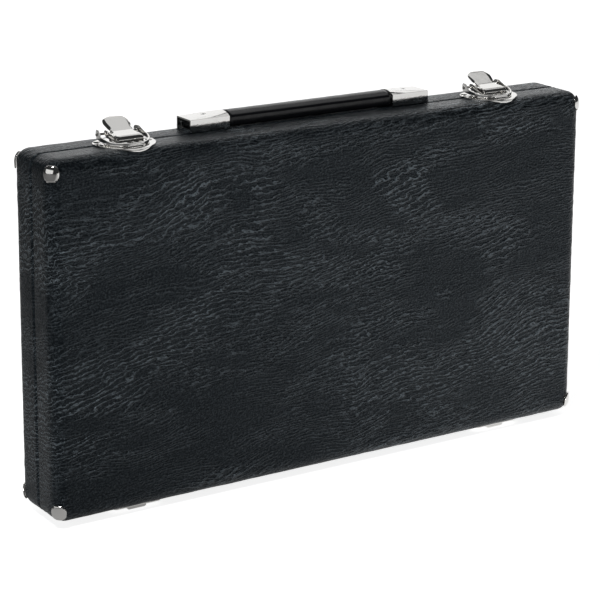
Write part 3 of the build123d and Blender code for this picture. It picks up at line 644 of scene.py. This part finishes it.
class CASE_OT_levers(bpy.types.Operator):
    """Make the latches' levers: a pressed skin with a dished tongue over two side arms"""
    bl_idname = "case.levers"
    bl_label = "Latch Levers"

    def execute(self, context):
        sizes = context.scene.case_sizes
        material = shared_nickel(context)
        for word in ("left", "right"):
            node = word + "_latch_lever"
            low, high = (Vector(corner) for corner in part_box(node))
            pivot = Vector(((low.x + high.x) / 2, low.y + sizes.nose_radius,
                            REAR_HIGH.z + sizes.pivot_height))
            arms = self.arms(node, pivot, sizes)
            skin = self.skin(pivot, high, sizes)
            arms_piece = link_piece(word + "_lever_arms", arms, material, word + "_lever")
            skin_piece = link_piece(word + "_lever_skin", skin, material, word + "_lever")
            solid = skin_piece.modifiers.new("thickness", "SOLIDIFY")
            solid.thickness = sizes.lever_sheet
            solid.offset = -1.0
            rim = skin_piece.modifiers.new("rolled_rim", "BEVEL")
            rim.width = sizes.lever_rim
            rim.segments = 3
            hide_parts(node)
            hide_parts(node)
        return {"FINISHED"}

    def arms(self, node, pivot, sizes):
        """The side arms alone, cut from the CAD lever's mesh."""
        bm = merged_copy(node)
        under = pivot + Vector((0.0, 0.0, sizes.nose_radius - 0.7 * MM))
        slope = Vector((0.0, -0.17, 1.0)).normalized()
        geometry = bm.verts[:] + bm.edges[:] + bm.faces[:]
        bmesh.ops.bisect_plane(bm, geom=geometry, plane_co=under, plane_no=slope, clear_outer=True)
        open_edges = [e for e in bm.edges if e.is_boundary]
        bmesh.ops.holes_fill(bm, edges=open_edges)
        soften(bm, sizes.metal_edge, segments=2)
        return bm

    def skin(self, pivot, high, sizes):
        """A grid bent along the lever's side view, its points moved in to follow the lever's plan."""
        nose = sizes.nose_radius + 0.05 * MM
        crease = Vector((0.0, pivot.y + 6.9 * MM, pivot.z + 3.5 * MM))
        tip = Vector((0.0, high.y, high.z))
        shoulder = pivot + Vector((0.0, 0.0, nose))
        nose_half, waist_half, fan = 8.2 * MM, 6.7 * MM, 1.3 * MM
        nose_end, tongue_start = 0.25, 0.5
        bm = bmesh.new()
        bmesh.ops.create_grid(bm, x_segments=22, y_segments=60, size=0.5)
        for vert in bm.verts:
            across, along = 2.0 * vert.co.x, vert.co.y + 0.5
            if along < nose_end:
                angle = math.radians(222.0 - 132.0 * along / nose_end)
                place = pivot + Vector((0.0, math.cos(angle), math.sin(angle))) * nose
                half = nose_half
            elif along < tongue_start:
                part = (along - nose_end) / (tongue_start - nose_end)
                place = shoulder.lerp(crease, part)
                half = nose_half + (waist_half - nose_half) * smooth_step(part)
            else:
                part = (along - tongue_start) / (1.0 - tongue_start)
                place = crease.lerp(tip, part)
                round_tip = max(0.0, (part - 0.62) / 0.38)
                half = waist_half + fan * smooth_step(part / 0.6)
                half *= math.sqrt(1.0 - 0.93 * round_tip ** 2.2)
            on_tongue = smooth_step((along - tongue_start) * 6.0)
            on_nose = 1.0 - smooth_step((along - 0.4) * 6.0)
            dish = 0.55 * MM * smooth_step((abs(across) - 0.78) / 0.22) * on_tongue
            dish += 0.5 * MM * smooth_step((along - 0.93) / 0.07)
            corner = 0.5 * MM * smooth_step((abs(across) - 0.86) / 0.14) * on_nose
            vert.co = Vector((pivot.x + across * half, place.y, place.z - dish - corner))
        bmesh.ops.recalc_face_normals(bm, faces=bm.faces)
        if sum(f.normal.z for f in bm.faces) < 0.0:
            bmesh.ops.reverse_faces(bm, faces=bm.faces)
        return bm


class CASE_OT_strap(bpy.types.Operator):
    """Make the handle's strap, whose ends lie flat inside the metal caps while its middle arches up"""
    bl_idname = "case.strap"
    bl_label = "Strap"

    def execute(self, context):
        sizes = context.scene.case_sizes
        material = strap_material(context.scene.case_colours)
        grip_low, grip_high = (Vector(corner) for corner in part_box("handle_grip"))
        for word, side in (("left", -1), ("right", 1)):
            end_low, end_high = (Vector(corner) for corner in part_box(word + "_strap_end"))
            bm = self.half_strap(side, grip_low, grip_high, end_low, end_high, sizes)
            piece = link_piece(word + "_strap", bm, material, None)
            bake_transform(piece)
            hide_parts(word + "_strap_end", "handle_grip")
        return {"FINISHED"}

    def half_strap(self, side, grip_low, grip_high, end_low, end_high, sizes):
        """One half of the strap: a padded middle that narrows to a flat end inside the cap."""
        half = sizes.strap_half_width
        middle_y = (grip_low.y + grip_high.y) / 2
        reach = max(abs(end_low.x), abs(end_high.x))
        side_top = grip_high.z - 1.9 * MM
        low = Vector((min(0.0, side * reach), middle_y - half, grip_low.z))
        high = Vector((max(0.0, side * reach), middle_y + half, side_top))
        bm = block(low, high)
        long_edges = [e for e in bm.edges if lengthwise(e, X)]
        bmesh.ops.bevel(bm, geom=long_edges, offset=1.0 * MM, segments=4, profile=0.5,
                        affect="EDGES", material=-1)
        subdivide_along(bm, X, reach / 2, 1.6 * MM)
        subdivide_along(bm, Y, half, 1.1 * MM)
        bmesh.ops.delete(bm, geom=faces_at(bm, X, 0.0), context="FACES")
        for vert in bm.verts:
            across = (vert.co.y - middle_y) / half
            up = (vert.co.z - low.z) / (high.z - low.z)
            crown = sizes.strap_crown * max(0.0, 1.0 - across * across)
            ripple = 0.10 * MM * noise.noise(vert.co / (9.0 * MM))
            lift = (crown + ripple) * smooth_step(up * 2.0 - 1.0)
            padded = Vector((vert.co.x, vert.co.y, vert.co.z + lift))
            flat_y = middle_y + across * (end_high.y - end_low.y) / 2
            flat = Vector((vert.co.x, flat_y, end_low.z + up * (end_high.z - end_low.z)))
            into_cap = (abs(vert.co.x) - grip_high.x + 0.6 * MM) / (1.8 * MM)
            vert.co = padded.lerp(flat, smooth_step(into_cap))
        bmesh.ops.recalc_face_normals(bm, faces=bm.faces)
        return bm


class CASE_OT_inside(bpy.types.Operator):
    """Make the flocked insert, the plush lining and the pad, and give the boards their wood"""
    bl_idname = "case.inside"
    bl_label = "Inside"

    def execute(self, context):
        colours = context.scene.case_colours
        wood = wood_material(colours)
        for entry in frame["record"]["subparts"]:
            if entry["material_slot"] == "board":
                node = frame["nodes"][entry["node"]]
                node.data.materials.clear()
                node.data.materials.append(wood)
        flock = pile_material("flocked_foam", colours.flock, scale=2600.0, sheen=0.35)
        plush = pile_material("lid_plush", colours.plush, scale=1500.0, sheen=0.6)
        self.insert(flock)
        finished_copy("lid_lining", "lid", 0.3 * MM, plush)
        self.pad(plush)
        return {"FINISHED"}

    def insert(self, material):
        """Foam block whose pockets have soft rims."""
        bm = merged_copy("mouthpiece_insert")
        front = min(v.co.y for v in bm.verts)
        rims = [e for e in loop_at(bm, front) if e.calc_face_angle(0.0) > math.radians(30)]
        soften(bm, 1.1 * MM, segments=4, chosen=rims)
        piece = link_piece("flocked_insert", bm, material, "rear_half")
        shade_evenly(piece)
        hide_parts("mouthpiece_insert")

    def pad(self, material):
        """Crowned pad with drawn-in edges and shallow sewn channels."""
        low, high = (Vector(corner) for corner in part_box("lid_pad"))
        cell, channel, drawn_in = 3.0 * MM, 3.2 * MM, 26.0 * MM
        bm = block(low, high)
        crown = loop_at(bm, high.y)
        bmesh.ops.bevel(bm, geom=crown, offset=2.4 * MM, segments=5, profile=0.5,
                        affect="EDGES", material=-1)
        subdivide_along(bm, X, (high.x - low.x) / 2, cell)
        subdivide_along(bm, Z, (high.z - low.z) / 2, cell)
        spacing = (high.x - low.x) / 6
        for vert in bm.verts:
            if vert.co.y < low.y + 2.0 * MM:
                continue
            edge = min(vert.co.x - low.x, high.x - vert.co.x, vert.co.z - low.z, high.z - vert.co.z)
            to_channel = abs((vert.co.x - low.x + spacing / 2) % spacing - spacing / 2)
            sewn = math.exp(-(to_channel / channel) ** 2) if edge > spacing / 4 else 0.0
            dip = 1.3 * (1.0 - smooth_step(edge / drawn_in)) + 1.5 * sewn
            dip += 0.25 * (1.0 + noise.noise(vert.co / (14.0 * MM)))
            vert.co.y -= dip * MM
        bmesh.ops.recalc_face_normals(bm, faces=bm.faces)
        piece = link_piece("lid_pad_sewn", bm, material, "lid")
        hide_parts("lid_pad")


class CASE_OT_stage(bpy.types.Operator):
    """Set up the floor, the lights and the camera"""
    bl_idname = "case.stage"
    bl_label = "Stage"

    def execute(self, context):
        scene = context.scene
        scene.view_settings.view_transform = "Standard"
        self.add_camera(scene)
        self.add_floor(scene)
        self.add_lights(scene)
        return {"FINISHED"}

    def add_camera(self, scene):
        """Long lens from the front left, a little above the case."""
        data = bpy.data.cameras.new("camera")
        data.lens = 136.66
        data.sensor_width = 36.0
        data.shift_y = -0.1667
        data.clip_start = 0.01
        camera = bpy.data.objects.new("camera", data)
        right = Vector((0.84013, -0.54237, 0.00445))
        up = Vector((0.12857, 0.20712, 0.96983))
        back = right.cross(up)
        turn = Matrix((right, up, back)).transposed().to_4x4()
        camera.matrix_world = Matrix.Translation((-0.69929, -1.06662, 0.47884)) @ turn
        scene.collection.objects.link(camera)
        scene.camera = camera

    def add_floor(self, scene):
        """Large white floor that takes the shadow; in the case's reflections its right side glows and
        its left side is darker, a painted reflection.
        """
        bm = bmesh.new()
        bmesh.ops.create_grid(bm, x_segments=1, y_segments=1, size=8.0)
        mesh = bpy.data.meshes.new("floor")
        bm.to_mesh(mesh)
        bm.free()
        floor = bpy.data.objects.new("floor", mesh)
        scene.collection.objects.link(floor)
        material, tree, shader = new_material("floor_white")
        shader.inputs["Roughness"].default_value = 0.9
        shader.inputs["Specular IOR Level"].default_value = 0.1
        shader.inputs["Emission Color"].default_value = (1.0, 1.0, 1.0, 1.0)
        path = tree.nodes.new("ShaderNodeLightPath").outputs
        seen = calculate(tree, "MULTIPLY", path["Is Camera Ray"], 0.85)
        place = tree.nodes.new("ShaderNodeSeparateXYZ")
        tree.links.new(stretched(tree), place.inputs[0])
        # Painted reflection: for glossy rays only, the right of the floor glows and the left is darker
        left, right = -0.35, 0.15
        right_share = spread(tree, place.outputs["X"], left, right, 0.0, 0.6)
        painted_reflection_glow = calculate(tree, "MULTIPLY", path["Is Glossy Ray"], right_share)
        left_share = spread(tree, place.outputs["X"], left, right, 1.0, 0.0)
        painted_reflection_shade = calculate(tree, "MULTIPLY", path["Is Glossy Ray"], left_share)
        two_colours(tree, painted_reflection_shade, (0.8, 0.8, 0.8), (0.3, 0.3, 0.3), shader.inputs["Base Color"])
        tree.links.new(calculate(tree, "ADD", seen, painted_reflection_glow), shader.inputs["Emission Strength"])
        mesh.materials.append(material)

    def add_lights(self, scene):
        """Soft boxes above, at the left and behind, a small raking lamp and dim surroundings."""
        for name, place, size, power in (("box_top", (0.75, 0.45, 1.6), (1.8, 0.7), 2.6),
                                         ("box_left", (-1.7, -0.6, 0.58), (2.2, 0.95), 5.2),
                                         ("box_rake", (-0.8, -0.6, 1.7), (0.3, 0.3), 10.0),
                                         ("box_back", (1.2, 2.4, 1.2), (3.2, 2.2), 22.0)):
            data = bpy.data.lights.new(name, "AREA")
            data.shape = "RECTANGLE"
            data.size, data.size_y = size
            data.energy = power
            lamp = bpy.data.objects.new(name, data)
            lamp.location = place
            aim = Vector((0.0, 0.0, 0.12)) - Vector(place)
            lamp.rotation_euler = aim.to_track_quat("-Z", "Y").to_euler()
            scene.collection.objects.link(lamp)
        world = bpy.data.worlds.new("surroundings")
        world.use_nodes = True
        background = world.node_tree.nodes["Background"]
        background.inputs["Color"].default_value = (0.93, 0.97, 1.0, 1.0)
        background.inputs["Strength"].default_value = 0.03
        scene.world = world


class CASE_PT_panel(bpy.types.Panel):
    """Sidebar panel that lists the settings and the operators"""
    bl_idname = "CASE_PT_panel"
    bl_label = "Mouthpiece Case"
    bl_space_type = "VIEW_3D"
    bl_region_type = "UI"
    bl_category = "Case"

    def draw(self, context):
        layout = self.layout
        for group in (context.scene.case_sizes, context.scene.case_colours):
            for name in group.__annotations__:
                layout.prop(group, name)
        for operator in OPERATORS:
            layout.operator(operator.bl_idname)


OPERATORS = (CASE_OT_covering, CASE_OT_corners, CASE_OT_fittings, CASE_OT_levers, CASE_OT_strap,
             CASE_OT_inside, CASE_OT_stage)
CLASSES = (CaseSizes, CaseColours) + OPERATORS + (CASE_PT_panel,)


def register():
    """Registers the classes and hangs the settings on the scene."""
    for item in CLASSES:
        bpy.utils.register_class(item)
    bpy.types.Scene.case_sizes = bpy.props.PointerProperty(type=CaseSizes)
    bpy.types.Scene.case_colours = bpy.props.PointerProperty(type=CaseColours)


def unregister():
    """Takes the settings and the classes away again."""
    del bpy.types.Scene.case_colours
    del bpy.types.Scene.case_sizes
    for item in reversed(CLASSES):
        bpy.utils.unregister_class(item)


def main():
    """Builds everything in order."""
    register()
    bpy.ops.case.covering()
    bpy.ops.case.corners()
    bpy.ops.case.fittings()
    bpy.ops.case.levers()
    bpy.ops.case.strap()
    bpy.ops.case.inside()
    bpy.ops.case.stage()


if __name__ == "__main__":
    main()
